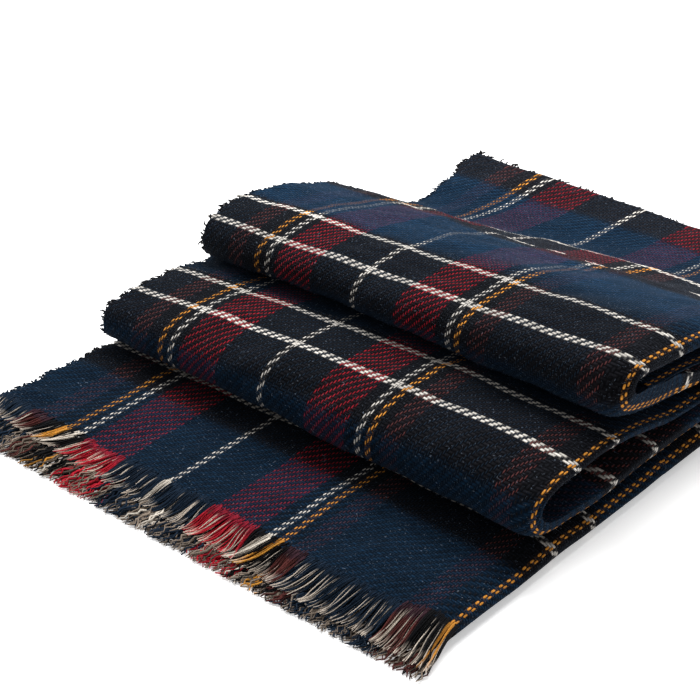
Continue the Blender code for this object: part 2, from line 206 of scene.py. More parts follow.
# where each colour starts across the cloth, in mm from the single white line
warpBands = (
    (-142.5, "navy"), (-111, "brown"), (-97.5, "black"), (-87, "yellow"), (-82.5, "black"),
    (-78, "white"), (-73.5, "black"), (-69, "red"), (-37.5, "navy"), (-1.5, "white"),
    (3, "navy"), (37.5, "red"), (72, "black"), (79.5, "white"), (84, "black"),
    (87, "yellow"), (91.5, "black"), (97.5, "brown"), (111, "navy"), (178.5, "brown"),
    (193.5, "black"), (201.5, "gold"),
)

# where each colour starts along the cloth, in mm from the fringe, in every repeat
weftBands = (
    (0, "blue"), (61, "black"), (87.4, "white"), (92.65, "black"),
    (123.4, "white"), (128.65, "black"), (133.5, "blue"),
)

# how much of the warp each weft yarn hides, and how much painted shade darkens the gap beside a
# warp float
weftHides = {"blue": 0.60, "black": 0.58, "white": 0.30}
weftGapShade = {"blue": 0.30, "black": 0.40, "white": 0.85}

# how strongly each warp yarn stands out of the full blue weft
warpStrength = {"navy": 0.8, "black": 1.0, "white": 1.0, "yellow": 0.8, "gold": 1.0, "red": 0.56,
                "brown": 0.42}

# the thick pale ends are hidden less
warpHiding = {"navy": 1.0, "black": 1.0, "white": 0.75, "yellow": 0.85, "gold": 0.55, "red": 0.95,
              "brown": 1.0}

# how much of each warp yarn the brushed nap covers
brushedDull = {"navy": 0.6, "black": 0.6, "white": 0.25, "yellow": 0.5, "gold": 0.3, "red": 0.85,
               "brown": 0.8}


def bandRamp(value, bands, first, last, table):
    # a ramp of hard steps: every band starts at its place and has its yarn's entry in the table
    ramp = addNode(value.tree, "ShaderNodeValToRGB", {0: mapRange(value, first, last, 0, 1)})
    stops = ramp.socket.node.color_ramp
    stops.interpolation = "CONSTANT"
    while len(stops.elements) < len(bands):
        stops.elements.new(1)
    for stop, (start, yarn) in zip(stops.elements, bands):
        shade = table[yarn]
        stop.position = (start - first) / (last - first)
        stop.color = shade if isinstance(shade, tuple) else (shade, shade, shade, 1)
    return ramp


def warpRamp(place, table):
    first, last = weave["warpRange"]
    bands = [(max(start - weave["bandLead"], first), yarn) for start, yarn in warpBands]
    return bandRamp(place, bands, first, last, table)


def weftRamp(place, table):
    return bandRamp(place, weftBands, 0, weave["weftRepeat"], table)


def clothPlaces(tree):
    # place across and along the cloth in mm, from the piece's own UV map
    uvMap = addNode(tree, "ShaderNodeUVMap", uv_map="threads")
    split = addNode(tree, "ShaderNodeSeparateXYZ", {0: uvMap})
    return split / mm, split.beside(1) / mm


def mirrored(across):
    # the sett is the same on both sides of the yellow line by the long fold
    return weave["settMiddle"] - calc("ABSOLUTE", across - weave["settMiddle"])


def floatHigh(acrossPart, alongPart):
    # how high a float stands: round across, and low at its two ends
    arch = calc("SINE", alongPart * (math.pi / 2))
    return calc("SINE", acrossPart * math.pi) * calc("MULTIPLY_ADD", arch, 0.6, 0.4)


def napAndSheenMask(across, along):
    # how far the nap is brushed up, which hides more of the warp, and how strong the painted sheen
    # is there
    start = mapRange(across, *weave["brushedAcross"], *weave["brushedFrom"])
    startEdge, endEdge = weave["brushedEdges"]
    end = weave["brushedTo"]
    ending = mapRange(along, end, end + endEdge, 1, weave["brushedAfter"])
    return mapRange(along - start, 0, startEdge, 0, 1) * ending


def twillCloth():
    # two up, two down: each float passes over two threads and steps one thread at every row
    material, shader = newMaterial("tartanTwill")
    tree = material.node_tree
    across, along = clothPlaces(tree)
    ends = across / weave["warpPitch"]
    picks = along / weave["weftPitch"]
    endNumber, pickNumber = calc("FLOOR", ends), calc("FLOOR", picks)
    endPart, pickPart = calc("FRACT", ends), calc("FRACT", picks)
    step = (endNumber - pickNumber) % 4
    warpUp = calc("LESS_THAN", step, 1.5)
    warpPlace = mirrored((endNumber + 0.5) * weave["warpPitch"])
    weftPlace = ((pickNumber + 0.5) * weave["weftPitch"]) % weave["weftRepeat"]
    place = addNode(tree, "ShaderNodeTexCoord", output="Object")
    fibres = noise(place, weave["fibreScale"], 2, 0.65)

    # where blue meets black, the brushed fibres carry each a little into the other
    mixing = weave["edgeMixing"]
    offEdge = [calc("ABSOLUTE", weftPlace - edge) for edge in weave["blueEdges"]]
    nearEdge = calc("LESS_THAN", calc("MINIMUM", *offEdge), mixing)
    carried = nearEdge * mapRange(fibres, 0.36, 0.64, -mixing, mixing)
    warpColour = warpRamp(warpPlace, yarns)
    weftColour = weftRamp(weftPlace + carried, yarns)
    warpHigh = floatHigh(endPart, 1 - step + pickPart)
    high = mixNumbers(warpUp, floatHigh(pickPart, step - 2 + endPart), warpHigh)

    # the thick weft crowds the warp, which shows only along the crown of its floats
    # the painted shade of the gap, which also tells the blue, black and white weft apart
    gapShade = weftRamp(weftPlace, weftGapShade)
    underBlue = calc("LESS_THAN", gapShade, (weftGapShade["blue"] + weftGapShade["black"]) / 2)
    underDark = calc("LESS_THAN", gapShade, (weftGapShade["black"] + weftGapShade["white"]) / 2)
    strength = 1 - underBlue * (1 - warpRamp(warpPlace, warpStrength))
    napAndSheen = napAndSheenMask(across, along)
    dulled = napAndSheen * warpRamp(warpPlace, brushedDull) * underDark
    hides = weftRamp(weftPlace, weftHides) * warpRamp(warpPlace, warpHiding)
    hides = hides + napAndSheen * weave["brushedHides"] * underBlue
    crown = mapRange(warpHigh, hides, hides + weave["crownEdge"], 0, 1)
    warpShows = warpUp * crown * (strength * (1 - dulled))
    besideCrown = warpUp * (1 - crown)
    high = high * calc("MULTIPLY_ADD", besideCrown, -weave["sunkBeside"], 1)

    # fibres of the other yarn show through, most where a float dives
    through = mapRange(fibres - high * 0.25, 0.35, 0.75, 0, weave["otherShare"])
    colour = mixColours(through, mixColours(warpShows, weftColour, warpColour),
                        mixColours(warpShows, warpColour, weftColour))

    # every thread is spun and dyed a little unevenly, and slubs run along the weft; painted shade
    # beside the floats and by the weave's height, and a painted sheen on the brushed nap, darken or
    # lighten it further
    threadNumber = mixNumbers(warpUp, pickNumber, endNumber)
    dyed = addNode(tree, "ShaderNodeTexWhiteNoise", {1: threadNumber + 7.5}, noise_dimensions="1D")
    variation = weave["yarnVariation"]
    # painted shade: the weft beside a warp crown is darkened as if in the crown's shadow
    shade = mapRange(dyed, 0, 1, 1 - variation, 1 + variation) * (1 - besideCrown * gapShade)
    # painted sheen: the brushed nap is made paler, as grazing light on it would make it
    shade = shade * calc("MULTIPLY_ADD", napAndSheen, weave["paintedSheen"], 1)
    patches = noise(place, weave["patchScale"], 2, 0.5)
    slubAcross, slubAlong = weave["slubScale"]
    slubPlace = {0: across * slubAcross, 1: along * slubAlong}
    slubs = noise(addNode(tree, "ShaderNodeCombineXYZ", slubPlace), 1, 2, 0.6)
    for pattern, shades in ((patches, "patchShade"), (fibres, "fibreShade"), (slubs, "slubShade")):
        shade = shade * mapRange(pattern, *weave["noiseMiddle"], *weave[shades])
    # painted shade by the height of the weave: low parts darker, as if shadowed by the floats
    shade = shade * mapRange(high, 0, 0.8, *weave["paintedReliefShade"])

    # pale kemp fibres caught in the nap
    kemp = mapRange(noise(place, weave["kempScale"], 1, 0.5), 0.69, 0.78, 0, weave["kempShare"])
    bump = addNode(tree, "ShaderNodeBump", {
        "Height": high + fibres * weave["fibreHigh"], "Strength": weave["bumpStrength"],
        "Distance": weave["bumpHigh"] * mm,
    })
    feedNode(shader, {
        "Base Color": mixColours(kemp, scaled(colour, shade), weave["kemp"]),
        "Roughness": weave["roughness"], "Specular IOR Level": weave["specular"],
        "Sheen Weight": weave["sheen"], "Sheen Roughness": weave["sheenRoughness"],
        "Sheen Tint": weave["sheenTint"], "Normal": bump,
    })
    return material


tartan = twillCloth()
print("materials made")

studio = {
    "azimuth": 40.7, "elevation": 32.1, "distance": 1.520, "lens": 121.7, "sensor": 36.0,
    "aim": (-0.0701, -0.0204, 0.0),
    "floor": (0.93, 0.93, 0.93, 1.0), "floorHalf": 6.0, "floorDrop": 0.0004,
    "floorGlow": 0.4,    # a lit table keeps the shadows pale
    "sky": 0.42,
    # every softbox has its place, what it is turned to, its width and its power
    "softboxes": {
        "softboxBack": ((-0.25, 0.85, 1.6), (0.0, 0.1, 0.0), 1.5, 62.0),
        "softboxLeft": ((-1.6, 0.1, 1.0), (0.0, 0.0, 0.0), 1.0, 8.0),
    },
}
white = (1.0, 1.0, 1.0, 1.0)


def addCamera():
    camera = addObject("camera", bpy.data.cameras.new("camera"))
    camera.data.lens = studio["lens"]
    camera.data.sensor_width = studio["sensor"]
    turn = math.radians(studio["azimuth"])
    rise = math.radians(studio["elevation"])
    level = math.cos(rise)
    back = Vector((math.sin(turn) * level, -math.cos(turn) * level, math.sin(rise)))
    camera.location = Vector(studio["aim"]) + back * studio["distance"]
    camera.rotation_euler = (-back).to_track_quat("-Z", "Y").to_euler()
    bpy.context.scene.camera = camera


def addSoftbox(name, place, aim, size, power):
    light = addObject(name, bpy.data.lights.new(name, "AREA"))
    light.data.shape = "DISK"
    light.data.size = size
    light.data.energy = power
    light.location = place
    light.rotation_euler = (Vector(aim) - Vector(place)).to_track_quat("-Z", "Y").to_euler()


def addFloor():
    half = studio["floorHalf"]
    corners = [(-half, -half, 0), (half, -half, 0), (half, half, 0), (-half, half, 0)]
    mesh = bpy.data.meshes.new("floor")
    mesh.from_pydata(corners, [], [(0, 1, 2, 3)])
    material, shader = newMaterial("floorPaper")
    feedNode(shader, {"Base Color": studio["floor"], "Roughness": 1.0, "Emission Color": white,
                      "Emission Strength": studio["floorGlow"]})
    mesh.materials.append(material)
    floor = addObject("floor", mesh)
    floor.location.z = -studio["floorDrop"]


def addWorld():
    world = bpy.data.worlds.new("studio")
    world.use_nodes = True
    feedNode(world.node_tree.nodes["Background"], {0: white, 1: studio["sky"]})
    bpy.context.scene.world = world


addCamera()
addFloor()
addWorld()
for name, softbox in studio["softboxes"].items():
    addSoftbox(name, *softbox)
bpy.context.scene.view_settings.view_transform = "Standard"
print("studio made")

cloth = {
    # all in mm, and X across the cloth
    "selvageX": -172.0,
    "flatEndX": 158.0,     # the plies start to round into the long fold
    "foldX": 175.0,        # the long fold's outermost line
    "singleLineX": -35.5,  # the single white line
    "wall": 2.1,           # one ply with its nap
    "columnWidth": 3.0,
    "rimColumns": (0.0, 0.25, 0.7, 1.5, 2.8, 4.5),
    "arcColumns": 18,
    "rimRound": 1.5,
    "rimThin": 0.02,       # share of the wall that is left at the very rim
    "wanderWidth": 90.0,   # the selvage's wander fades out over this
    "calmHigh": (3.0, 5.0),    # creases start so high over the ground, and grow over so much
    "floorGap": 0.02,
}

# Each row is a line across the cloth: its distance along the cloth, the outer face at the selvage
# and before the long fold as Y and Z, the fold's outermost line, the thickness over both plies at
# each side, the bow of the line, and its shift towards the fold. All in mm from the fringe's root.
# A row without a bow and a shift has the usual ones.
rowNames = ("length", "leftY", "leftZ", "rightY", "rightZ", "edgeY", "edgeZ", "thickLeft",
            "thickRight", "bow", "shift")
usualBowShift = (2, 0)

bottomRows = [(length, length, 7.2, length, 15, length, 8, 7.2, 15) for length in range(0, 201, 50)]

middleRows = (
    (534, 200, 7.9, 200, 16.6, 200, 30, 5.6, 17.5),
    (556, 176, 7.9, 176, 16.6, 176, 30, 5.6, 17.5),
    (580, 153, 7.9, 145, 16.6, 148, 29.6, 5.6, 17.5),
    (602, 131, 7.9, 118, 16.7, 122, 29.8, 5.6, 17),
    (614, 119, 7.9, 103, 16.9, 108, 30.5, 5.6, 15.5),
    (628, 107.5, 8, 90, 18.4, 95, 32, 5.6, 14),
    (641, 96, 8.8, 78.5, 22.8, 84, 35.2, 5.6, 12.5),
    (650, 87.5, 12, 71.6, 29.6, 77.5, 40.2, 5.6, 12),
    (658, 81.4, 18.6, 69.4, 38.2, 75.4, 45.6, 5.6, 12),
    (666, 80.6, 27, 71.4, 47, 77, 50.8, 5.6, 12),
    (674, 85.4, 34, 77.6, 54.4, 83, 54.8, 5.6, 12),
    (684, 94.6, 38.2, 89.4, 59.8, 93, 56.8, 5.6, 12.5),
    (698, 108.6, 40.2, 106, 62.3, 107, 57.4, 5.6, 13),
    (716, 127, 40.2, 125, 62.6, 126, 58.2, 5.6, 13),
    (734, 145, 37.8, 144, 60.6, 145, 58, 5.6, 13),
    (755, 166, 34.2, 164, 57, 165, 53.6, 5.6, 13),
    (773, 184, 32.2, 182, 52.6, 183, 49.4, 5.6, 13),
    (790, 200, 31, 200, 48.8, 200, 45, 5.6, 12),
)

topRows = (
    (1052, 200, 32, 200, 51, 200, 76, 5.6, 23, 2, 2),
    (1070, 196, 32.4, 182, 55.2, 189, 77.6, 5.6, 23, 2, 2.4),
    (1090, 191.5, 32.8, 166, 59.4, 179, 79.6, 5.6, 22, 2, 2.7),
    (1107, 186, 33.4, 152, 64.2, 167, 82, 5.6, 19, 2, 3),
    (1118, 177.4, 35.4, 144.4, 71.6, 158, 84.6, 5.6, 17, 1.9, 4),
    (1126, 170.4, 40.4, 141, 80.6, 153.4, 87.8, 5.6, 15.5, 1.75, 5),
    (1132.5, 167.2, 47, 141.2, 88.2, 152, 91, 5.6, 15, 1.55, 5.1),
    (1139, 166.8, 54.4, 144.2, 95.2, 152.8, 94.2, 5.6, 15, 1.35, 5.2),
    (1146.5, 170, 61.4, 150, 101, 156, 96.8, 5.6, 16, 1.15, 5.3),
    (1154, 177, 65.6, 158, 104, 162, 97.6, 5.6, 17, 1, 5.4),
    (1172, 194, 67.2, 176, 105.4, 178, 96.8, 5.6, 17, 1, 5.6),
    (1190, 211, 66, 194.5, 103.8, 195.5, 94.6, 5.6, 17, 1, 5.8),
    (1205, 223, 64.5, 209, 101.2, 210, 92.6, 5.6, 16.5, 1, 6),
    (1225, 239, 62, 228.5, 96.6, 229, 88.6, 5.6, 15.5, 1, 7),
    (1245, 255, 58.6, 247.5, 90.6, 248, 83.2, 5.6, 15, 1, 8),
    (1265, 270, 54.6, 266, 83.2, 266.5, 76.4, 5.6, 14.5, 1, 9.1),
    (1285, 285, 49.4, 285, 75, 285.5, 68.4, 5.6, 14, 1, 10.1),
    (1306, 299.5, 42.8, 305, 65.8, 305.5, 59.2, 5.6, 13.5, 1, 11.2),
    (1324, 314, 33.6, 322, 57.4, 322.5, 51, 5.6, 13.5, 1, 13.1),
    (1342, 329, 23.2, 339, 48.6, 339.5, 42.2, 5.6, 13.5, 1, 14.6),
    (1360, 345, 13.6, 356, 40, 356.5, 33.6, 5.8, 13.5, 1, 15.6),
    (1380, 363, 8.8, 374, 31.6, 374.5, 25.4, 6.6, 13.5, 1, 16.4),
    (1400, 382, 7.6, 393, 24.8, 393, 18.4, 7.6, 14, 1, 17),
    (1420, 402, 7.4, 413, 20.2, 413, 12.8, 7.4, 16, 1, 17.4),
    (1438, 424, 7.2, 433, 17.6, 433, 9.4, 7.2, 17.6, 1, 17.7),
    (1452, 443, 7, 450, 16, 450, 8.4, 7, 16, 1, 18),
)
topSeam = 1205   # where the top fold's stretch ends and the back length starts

# the first fold at the back, behind the middle fold
lowerHiddenRows = (
    (352, 200, 7.2, 200, 15, 200, 8, 7.2, 15),
    (392, 240, 7.2, 240, 15, 240, 8, 7.2, 15),
    (425, 273, 7, 273, 14.8, 273, 8, 7, 14.6),
    (437, 285, 6.6, 285, 14.6, 286, 9, 6.4, 13),
    (443, 289.5, 7.4, 289.5, 15.7, 293, 15.5, 5.6, 11),
    (449, 285, 8.2, 285, 16.8, 287, 23, 5.6, 13),
    (461, 273, 8, 273, 16.7, 275, 28, 5.6, 16),
    (494, 240, 7.9, 240, 16.6, 240, 30, 5.6, 17.5),
    middleRows[0],
)

# the second fold at the back, behind the top fold
upperHiddenRows = (
    middleRows[-1],
    (830, 240, 30.4, 240, 47.4, 240, 43, 5.6, 12, 2, 1),
    (870, 280, 27, 280, 46, 280, 41, 5.6, 12, 2, 3),
    (892, 300, 23.6, 300, 38.6, 300, 34, 5.6, 12, 1.6, 5),
    (907, 313, 18, 314, 31.6, 314, 27, 5.4, 11, 1.3, 6),
    (917, 322, 12.6, 323, 27.4, 323, 23, 5, 10, 1, 6),
    (921, 325.5, 11.4, 326.5, 26.8, 328, 27, 4.8, 9.5, 1, 6),
    (925, 322, 13.6, 323, 29, 323, 32, 5, 10, 1, 6),
    (935, 313, 19, 314, 33, 314, 38, 5.4, 11, 1.3, 6),
    (950, 300, 24.6, 300, 40, 300, 45.5, 5.6, 11, 1.6, 5),
    (972, 280, 28, 280, 47.6, 280, 53, 5.6, 12.5, 2, 4),
    (1012, 240, 31.4, 240, 49.6, 240, 62, 5.6, 18, 2, 3),
    topRows[0],
)

# one more edge of cloth inside the top fold, which shows beside the long fold
innerRows = (
    (1048, 169, 51, 169, 85.6, 169, 84.6, 4.6, 4.6, 1.5, 5),
    (1059, 180, 51, 180, 84.2, 180, 82.8, 4.6, 4.6, 1.5, 5),
    (1079, 200, 50, 200, 81.6, 200, 80.4, 4.6, 4.6, 1.5, 5),
    (1099, 220, 49, 220, 78.4, 220, 77.2, 4.6, 4.6, 1.5, 5),
    (1119, 240, 48, 240, 74.4, 240, 73, 4.6, 4.6, 1.5, 5),
    (1144, 265, 46, 265, 68.2, 265, 67, 4.6, 4.6, 1.5, 5),
)
innerWidth = 84.0    # mm of it from the long fold inwards


def smoothRows(rows, steps):
    # a Catmull-Rom curve through every column of the table
    values = np.array([(*row, *usualBowShift)[:len(rowNames)] for row in rows], dtype=float)
    padded = np.vstack([2 * values[0] - values[1], values, 2 * values[-1] - values[-2]])
    result = []
    for index in range(1, len(padded) - 2):
        before, start, end, after = padded[index - 1:index + 3]
        bend = 2 * before - 5 * start + 4 * end - after
        turn = 3 * start - before - 3 * end + after
        for part in np.arange(steps) / steps:
            result.append(start + 0.5 * part * ((end - before) + part * (bend + part * turn)))
    return np.array([*result, values[-1]])


def towardsInnerPly(path):
    ahead = np.gradient(path, axis=0)
    ahead /= np.linalg.norm(ahead, axis=1, keepdims=True)
    return np.stack([ahead[:, 1], -ahead[:, 0]], axis=1)


def acrossPlaces(columnWidth):
    # distances from the selvage to where the long fold starts, close together at the rim
    flat = cloth["flatEndX"] - cloth["selvageX"]
    *rim, start = cloth["rimColumns"]
    count = int(round((flat - start) / columnWidth))
    return np.concatenate([rim, np.linspace(start, flat, count + 1)[:-1]])


# Creases and waves: a slow unevenness all over, and the main ridges and troughs, listed one by one.
waves = (
    # across, along (wavelengths in mm), phase, height
    (170, 95, 0.4, 0.55), (-120, 62, 1.9, 0.40), (75, -130, 3.1, 0.40),
    (48, 55, 4.4, 0.22), (-37, 31, 0.9, 0.14), (26, -44, 2.2, 0.12),
)
# every crease has its middle (across, along), its length, its width, its turn in degrees from
# straight along the cloth, and its height in mm
creases = (
    # bottom length
    (-118, 20, 30, 8, 70, 1.6),
    (-40, 34, 60, 12, 30, -0.9),
    (60, 40, 70, 14, -35, 0.8),
    (135, 30, 50, 12, 20, 0.8),
    # middle fold
    (20, 672, 90, 9, 80, -0.9),
    (-60, 716, 70, 9, 84, -0.9),
    (80, 716, 110, 10, 92, -1.2),
    # top fold and back length
    (10, 1172, 140, 9, 90, -1.1),
    (120, 1172, 70, 10, 88, -0.9),
    (-60, 1236, 80, 14, 60, 1),
    (70, 1262, 120, 16, 75, -1.4),
    (0, 1308, 340, 24, 90, -2.6),
    (75, 1345, 150, 34, 90, 4.2),
)


def unevenness(across, along):
    high = np.zeros_like(across)
    for acrossWave, alongWave, phase, size in waves:
        high += size * np.sin(2 * math.pi * (across / acrossWave + along / alongWave) + phase)
    for middleAcross, middleAlong, length, width, turn, size in creases:
        angle = math.radians(turn)
        du = across - middleAcross
        ds = along - middleAlong
        lengthwise = ds * math.cos(angle) + du * math.sin(angle)
        sideways = du * math.cos(angle) - ds * math.sin(angle)
        high += size * np.exp(-(lengthwise / (0.5 * length)) ** 4 - (sideways / (0.5 * width)) ** 2)
    return high


# how far the selvage lies out from its straight line, in mm, by the distance along the cloth
selvagePlaces = ((0, 11), (15, 10), (35, 8), (60, 6), (90, 3), (120, 0), (600, 0), (640, 1),
                 (670, 2), (720, 0), (1100, 0), (1160, 2), (1195, 7), (1225, 2), (1290, 0),
                 (1330, -5), (1370, -10), (1400, -8), (1428, -1), (1452, 9))
selvageRipples = ((0.7, 5.3, 0.0), (0.5, 2.9, 1.0))    # height, length and phase


def selvageWander(lengths):
    small = sum(size * np.sin(lengths / length + phase) for size, length, phase in selvageRipples)
    return np.interp(lengths, *zip(*selvagePlaces)) + small


def plySkin(column, places, fullness, depth):
    # one skin of the double wall; depth is how far it lies inside the outer faces
    flatEnd, arcColumns = cloth["flatEndX"], cloth["arcColumns"]
    flat = flatEnd - cloth["selvageX"]
    amount = 1 - (1 - places[None, :] / flat) ** column["bow"]
    offset = cloth["wall"] / 2 + (depth - cloth["wall"] / 2) * fullness
    angles = np.linspace(0, math.pi, arcColumns + 1)
    edge = np.hstack([column["edgeY"], column["edgeZ"]])
    plies, ends = [], []
    for under in (False, True):
        sides = []
        for side, thick in (("left", column["thickLeft"]), ("right", column["thickRight"])):
            line = np.hstack([column[side + "Y"], column[side + "Z"]])
            inward = towardsInnerPly(line)
            move = thick - offset if under else offset
            sides.append(line[:, None, :] + inward[:, None, :] * move[:, :, None])
        plies.append(sides[0] + (sides[1] - sides[0]) * amount[:, :, None])
        # the right side, where the ply ends before the fold
        ends.append(line + inward * (thick - depth if under else depth))
    # half an ellipse from one ply to the other round the long fold
    arc = []
    for angle in angles:
        side = ends[0] if angle < math.pi / 2 else ends[1]
        arc.append(edge + (side - edge) * abs(math.cos(angle)))
    flatX = cloth["selvageX"] + places
    arcX = flatEnd + (cloth["foldX"] - depth - flatEnd) * np.sin(angles)
    x = np.concatenate([flatX, arcX, flatX[::-1]])[None, :] + column["shift"]
    near = 1 - places / cloth["wanderWidth"]
    near = np.clip(np.concatenate([near, np.zeros(len(arcX)), near[::-1]]), 0, 1)
    x = x - selvageWander(column["length"]) * near[None, :] ** 2
    yz = np.concatenate([plies[0], np.stack(arc, axis=1), plies[1][:, ::-1]], axis=1)
    return np.concatenate([x[:, :, None], yz], axis=2)


def clothSkins(rows, columnWidth=cloth["columnWidth"]):
    # outer and inner skin of the double wall of cloth, from one selvage round the long fold to
    # the other selvage, with the place across and along the cloth for every point
    places = acrossPlaces(columnWidth)
    column = {name: rows[:, number:number + 1] for number, name in enumerate(rowNames)}
    rim = np.clip(places / cloth["rimRound"], 0, 1)
    fullness = np.sqrt(np.clip(1 - (1 - rim) ** 2, cloth["rimThin"], 1))[None, :]
    outer, inner = (plySkin(column, places, fullness, depth) for depth in (0, cloth["wall"]))
    firstPly = cloth["selvageX"] - cloth["singleLineX"] + places
    foldStart = cloth["flatEndX"] - cloth["singleLineX"]
    bothPlies = 2 * weave["foldPlace"]
    fold = np.linspace(foldStart, bothPlies - foldStart, cloth["arcColumns"] + 1)
    acrossLine = np.concatenate([firstPly, fold, bothPlies - firstPly[::-1]])
    across = np.repeat(acrossLine[None, :], len(rows), axis=0)
    along = np.repeat(column["length"], across.shape[1], axis=1)

    # the unevenness moves both plies together, and nothing that lies on the floor
    flatCount = len(places)
    arcEnd = flatCount + cloth["arcColumns"] + 1
    normal = np.cross(np.gradient(outer, axis=0), np.gradient(outer, axis=1))
    normal /= np.maximum(np.linalg.norm(normal, axis=2, keepdims=True), 1e-9)
    move = normal * -unevenness(np.minimum(across, bothPlies - across), along)[:, :, None]
    move[:, flatCount:arcEnd] = move[:, flatCount - 1:flatCount]
    move[:, arcEnd:] = move[:, :flatCount][:, ::-1]
    calm, rise = cloth["calmHigh"]
    for skin in (outer, inner):
        skin += move * np.clip((skin[:, :, 2:3] - calm) / rise, 0, 1)
        skin[:, :, 2] = np.maximum(skin[:, :, 2], cloth["floorGap"])
    return outer, inner, across, along


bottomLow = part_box("bottom_length")[0]
tableOrigin = np.array((bottomLow[0] - cloth["selvageX"] * mm, bottomLow[1], 0.0))


def inPlace(points):
    return points.reshape(-1, 3) * mm + tableOrigin


def skinFaces(numbers):
    # a face between every four neighbours of a grid of points
    corners = (numbers[:-1, :-1], numbers[:-1, 1:], numbers[1:, 1:], numbers[1:, :-1])
    return np.stack(corners, axis=2).reshape(-1, 4)


def clothMesh(name, skins, closedEnd=False):
    # one closed wall of cloth from its two skins, with its rims
    points, faces, places, shown = [], [], [], []
    start = 0
    for outer, inner, across, along in skins:
        rows, columns = across.shape
        count = rows * columns
        points += [inPlace(outer), inPlace(inner)]
        places += [np.stack([across.ravel(), along.ravel()], axis=1) * mm] * 2
        shown += [np.ones(count), np.zeros(count)]
        numbers = start + np.arange(count).reshape(rows, columns)
        faces += [skinFaces(numbers), skinFaces(numbers + count)[:, ::-1]]
        rims = [(numbers[0], True), (numbers[:, 0], False), (numbers[:, -1], True)]
        if not closedEnd:
            rims.append((numbers[-1], False))
        for line, flip in rims:
            quads = np.stack([line[:-1], line[1:], line[1:] + count, line[:-1] + count], axis=1)
            faces.append(quads[:, ::-1] if flip else quads)
        start += 2 * count
    mesh = bpy.data.meshes.new(name)
    mesh.from_pydata(np.vstack(points).tolist(), [], np.vstack(faces).tolist())
    threads = mesh.uv_layers.new(name="threads")
    corners = np.zeros(len(mesh.loops), dtype=np.int32)
    mesh.loops.foreach_get("vertex_index", corners)
    threads.data.foreach_set("uv", np.vstack(places)[corners].astype(np.float32).ravel())
    mesh.attributes.new("shown", "FLOAT", "POINT").data.foreach_set("value", np.concatenate(shown))
    work = bmesh.new()
    work.from_mesh(mesh)
    bmesh.ops.remove_doubles(work, verts=work.verts, dist=0.00001)
    bmesh.ops.recalc_face_normals(work, faces=work.faces)
    work.to_mesh(mesh)
    work.free()
    mesh.materials.append(tartan)
    mesh.shade_smooth()
    mesh.set_sharp_from_angle(angle=math.radians(60))
    print(name, len(mesh.polygons), "faces")
    return addObject(name, mesh)


farFold = {
    "reach": (10.5, 11.0),    # mm that the far fold stands out, on the left and on the right
    "steps": 8,
    "foldFlat": 0.9,     # how far it flattens towards the long fold
    "length": 3.0,       # mm of cloth that it takes up
}


def closeFarEnd(skins):
    # the upper ply rounds down on to the lower one at the far fold
    outer, inner, across, along = skins
    columns = across.shape[1]
    steps = farFold["steps"]
    atLeft, atRight = farFold["reach"]
    angles = np.pi / 2 * np.arange(1, steps + 1) / steps
    arcStart = (columns - cloth["arcColumns"] - 1) // 2
    share = np.clip(np.minimum(np.arange(columns), np.arange(columns)[::-1]) / arcStart, 0, 1)
    pastFlat = outer[-1, :, 0] - outer[-1, arcStart, 0]
    fromFold = np.clip(pastFlat / (cloth["foldX"] - cloth["flatEndX"]), 0, 1)
    closed = []
    for skin, depth in ((outer, 0.0), (inner, cloth["wall"])):
        last = skin[-1]
        middle = (last + last[::-1]) / 2
        reach = atLeft + (atRight - atLeft) * share - depth
        reach = reach * np.sqrt(1 - farFold["foldFlat"] * fromFold ** 2)
        extra = middle + (last - middle) * np.cos(angles)[:, None, None]
        extra[:, :, 1] += reach * np.sin(angles)[:, None]
        closed.append(np.concatenate([skin, extra]))
    moreAlong = along[-1][None, :] + np.sin(angles)[:, None] * farFold["length"]
    across = np.concatenate([across, np.repeat(across[-1:], steps, axis=0)])
    return *closed, across, np.concatenate([along, moreAlong])


# how far the woven end bows out between its corners, in mm by the place from selvage to fold
endBow = ((-172, 0), (-130, 2), (-60, 5), (0, 6), (60, 8), (110, 9), (140, 7), (160, 2), (175, 0))
bowDeep = 45.0    # mm from the end, where the bow has died out


def bowEnd(skins):
    outer, inner, across, along = skins
    moved = np.interp(outer[:, :, 0], *zip(*endBow)) * np.clip(1 - outer[:, :, 1] / bowDeep, 0, 1)
    for skin in (outer, inner):
        skin[:, :, 1] -= moved
    return outer, inner, across, along - moved


bottomSkins = bowEnd(clothSkins(smoothRows(bottomRows, 16)))
middleSkins = clothSkins(smoothRows(middleRows, 6))
topFine = smoothRows(topRows, 7)
seam = np.argmin(np.abs(topFine[:, 0] - topSeam))
topSkins = clothSkins(topFine[:seam + 1])
backSkins = closeFarEnd(clothSkins(topFine[seam:]))
hiddenSkins = [clothSkins(smoothRows(rows, 3), 6.0) for rows in (lowerHiddenRows, upperHiddenRows)]
innerSkins = clothSkins(smoothRows(innerRows, 4))
left = int((innerSkins[0][0, :, 0] < cloth["foldX"] - innerWidth).sum() // 2)
hiddenSkins.append([part[:, left:-left] for part in innerSkins])

bottomLength = clothMesh("bottomLength", [bottomSkins])
middleFold = clothMesh("middleFold", [middleSkins])
topFold = clothMesh("topFold", [topSkins])
backLength = clothMesh("backLength", [backSkins], closedEnd=True)
hiddenLayers = clothMesh("hiddenLayers", hiddenSkins)
print("cloth made")


def named(tree, name, kind="FLOAT"):
    return addNode(tree, "GeometryNodeInputNamedAttribute", {0: name}, data_type=kind)


def store(geometry, name, value, kind="FLOAT", domain="POINT"):
    return addNode(geometry.tree, "GeometryNodeStoreNamedAttribute",
                   {0: geometry, "Name": name, "Value": value}, data_type=kind, domain=domain)


def added(*vectors):
    total, *others = vectors
    for vector in others:
        total = addNode(total.tree, "ShaderNodeVectorMath", {0: total, 1: vector})
    return total


